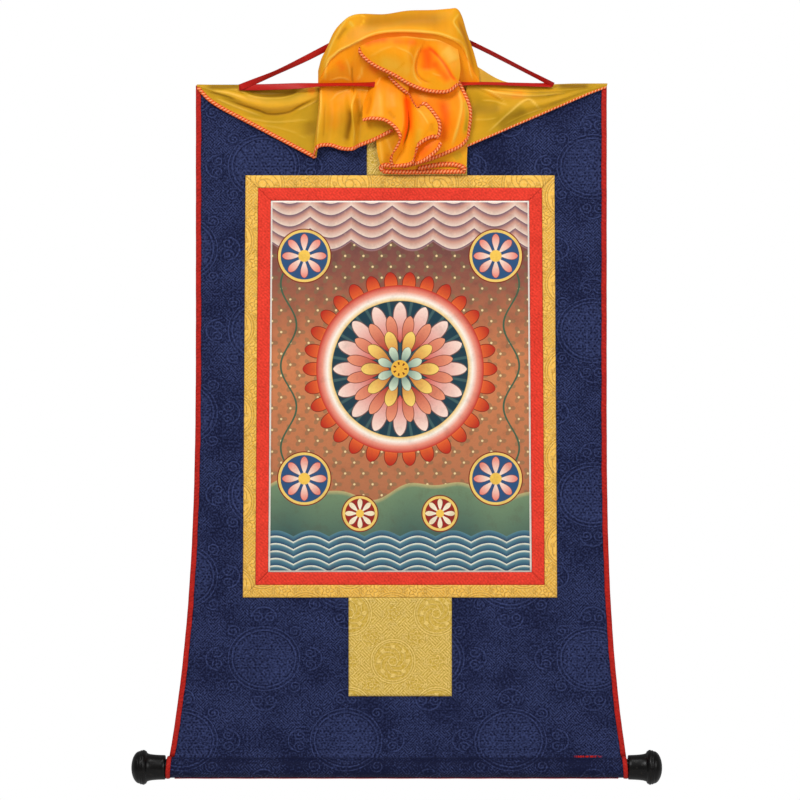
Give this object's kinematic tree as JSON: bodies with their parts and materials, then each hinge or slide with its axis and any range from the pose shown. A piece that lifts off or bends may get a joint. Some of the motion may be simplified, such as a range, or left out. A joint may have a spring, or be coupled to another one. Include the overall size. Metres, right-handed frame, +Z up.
{
  "type": "thangka scroll painting with roller rod",
  "caption": "Hanging scroll picture on a flared brocade panel with mitred strips, side bindings, a gathered silk veil, a hanging ribbon and a black-knobbed roller rod.",
  "frame": {"origin": "where the hanging ribbon bears on its hook, in the middle of the panel's thickness", "axes": "+Z up, the picture faces -Y, +X to the viewer's right"},
  "size_m": [0.6101, 0.0615, 0.8898],
  "materials": {
    "navy_brocade": "satin",
    "gold_brocade": "satin",
    "red_silk": "matte",
    "red_binding": "matte",
    "red_ribbon": "satin",
    "painted_cotton": "matte",
    "veil_silk": "satin",
    "black_wood": "gloss"
  },
  "bodies": {
    "root": {"panel": "navy_brocade", "binding_left": "red_binding", "binding_right": "red_binding", "bottom_strip": "red_binding", "gold_top": "gold_brocade", "gold_right": "gold_brocade", "gold_bottom": "gold_brocade", "gold_left": "gold_brocade", "red_top": "red_silk", "red_right": "red_silk", "red_bottom": "red_silk", "red_left": "red_silk", "painting": "painted_cotton", "patch_lower": "gold_brocade", "patch_upper": "gold_brocade", "rod": "black_wood", "knob_left": "black_wood", "knob_right": "black_wood", "hanging_ribbon": "red_ribbon", "tie_ribbon": "red_ribbon", "veil": "veil_silk"}
  },
  "joints": []
}
